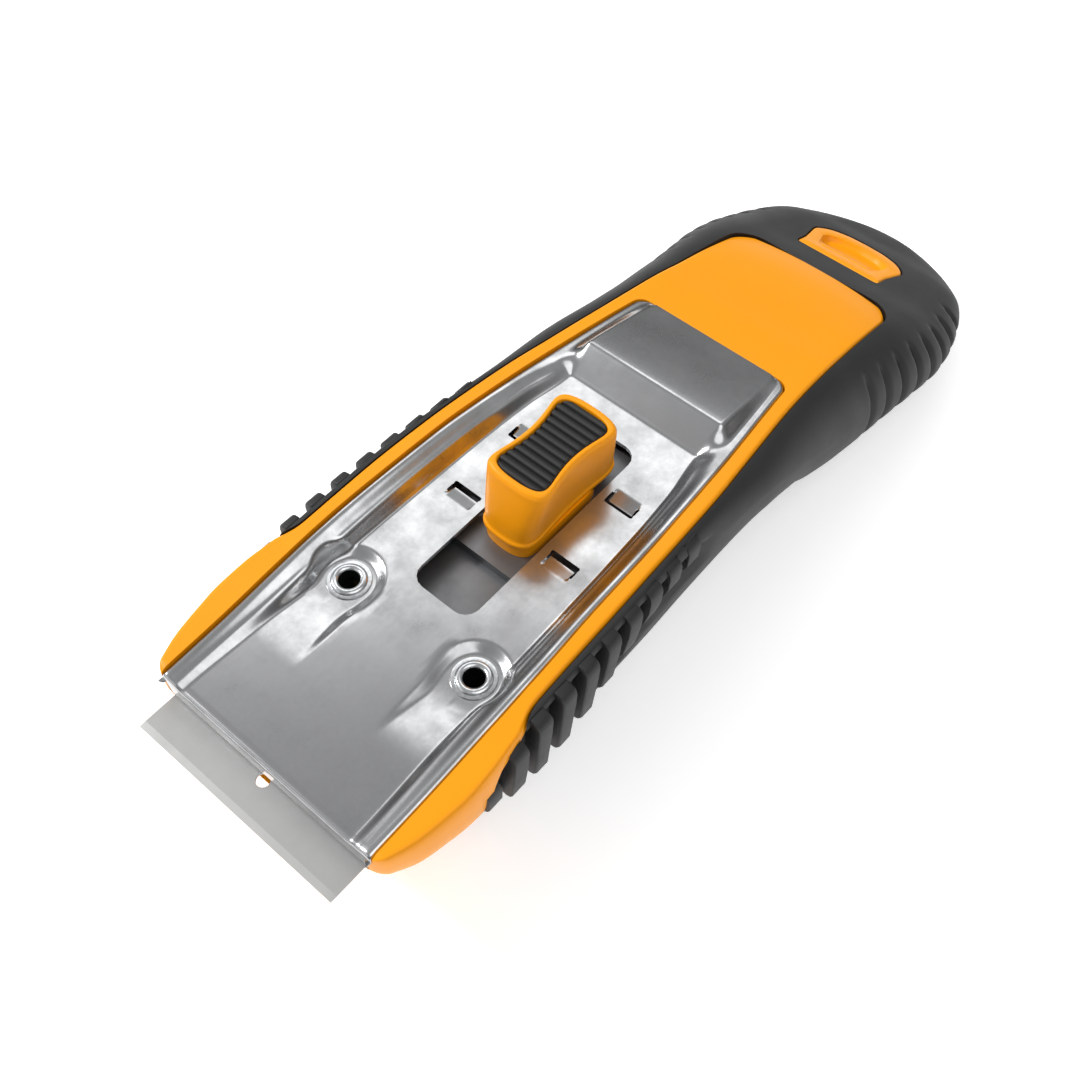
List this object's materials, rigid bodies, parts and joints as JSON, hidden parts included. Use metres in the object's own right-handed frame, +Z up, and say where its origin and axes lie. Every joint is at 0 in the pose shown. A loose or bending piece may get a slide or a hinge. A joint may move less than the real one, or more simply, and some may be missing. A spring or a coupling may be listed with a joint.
{
  "type": "razor blade scraper",
  "caption": "Hand scraper with a razor blade on a sliding carrier between steel plates, a thumb button, a soft finned grip and a hinged lid over a spare blade store.",
  "frame": {"origin": "centre of the overall box in X and Y, on the surface that the tool lies on", "axes": "+X forward to the cutting edge, +Y to the tool's left, +Z up, away from the surface it lies on"},
  "size_m": [0.1774, 0.0584, 0.041],
  "materials": {
    "yellow_plastic": "satin moulded, amber yellow",
    "black_rubber": "matt soft moulded",
    "dark_plastic": "matt moulded",
    "guide_plastic": "matt moulded, slippery",
    "polished_steel": "polished pressed sheet",
    "rolled_steel": "plain rolled sheet",
    "blade_steel": "matt ground strip",
    "fastener_steel": "bright zinc plated"
  },
  "bodies": {
    "handle": {"handle_frame": "yellow_plastic", "rubber_grip": "black_rubber", "grip_core": "dark_plastic", "cover_plate": "polished_steel", "base_plate": "rolled_steel", "left_spacer": "guide_plastic", "right_spacer": "guide_plastic", "eyelet_rivets": "polished_steel", "cartridge_screws": "fastener_steel", "housing_screws": "fastener_steel", "storage_tray": "dark_plastic", "spare_blades": "blade_steel", "lid_hinge_pin": "fastener_steel"},
    "blade_slide": {"blade": "blade_steel", "blade_pins": "fastener_steel", "blade_carrier": "rolled_steel", "slider_shoe": "guide_plastic", "shoe_rivets": "fastener_steel", "detent_spring": "fastener_steel", "thumb_button": "yellow_plastic", "button_pad": "black_rubber", "button_screws": "fastener_steel"},
    "lid": {"storage_lid": "yellow_plastic"}
  },
  "joints": [
    {"name": "blade_travel", "type": "slide", "parent": "handle", "child": "blade_slide", "axis": [1, 0, 0], "range_m": [-0.0075, 0.0135]},
    {"name": "lid_hinge", "type": "hinge", "parent": "handle", "child": "lid", "pos_m": [-0.06518, 0, 0.01394], "axis": [0, 1, 0], "range_deg": [0, 90]}
  ]
}
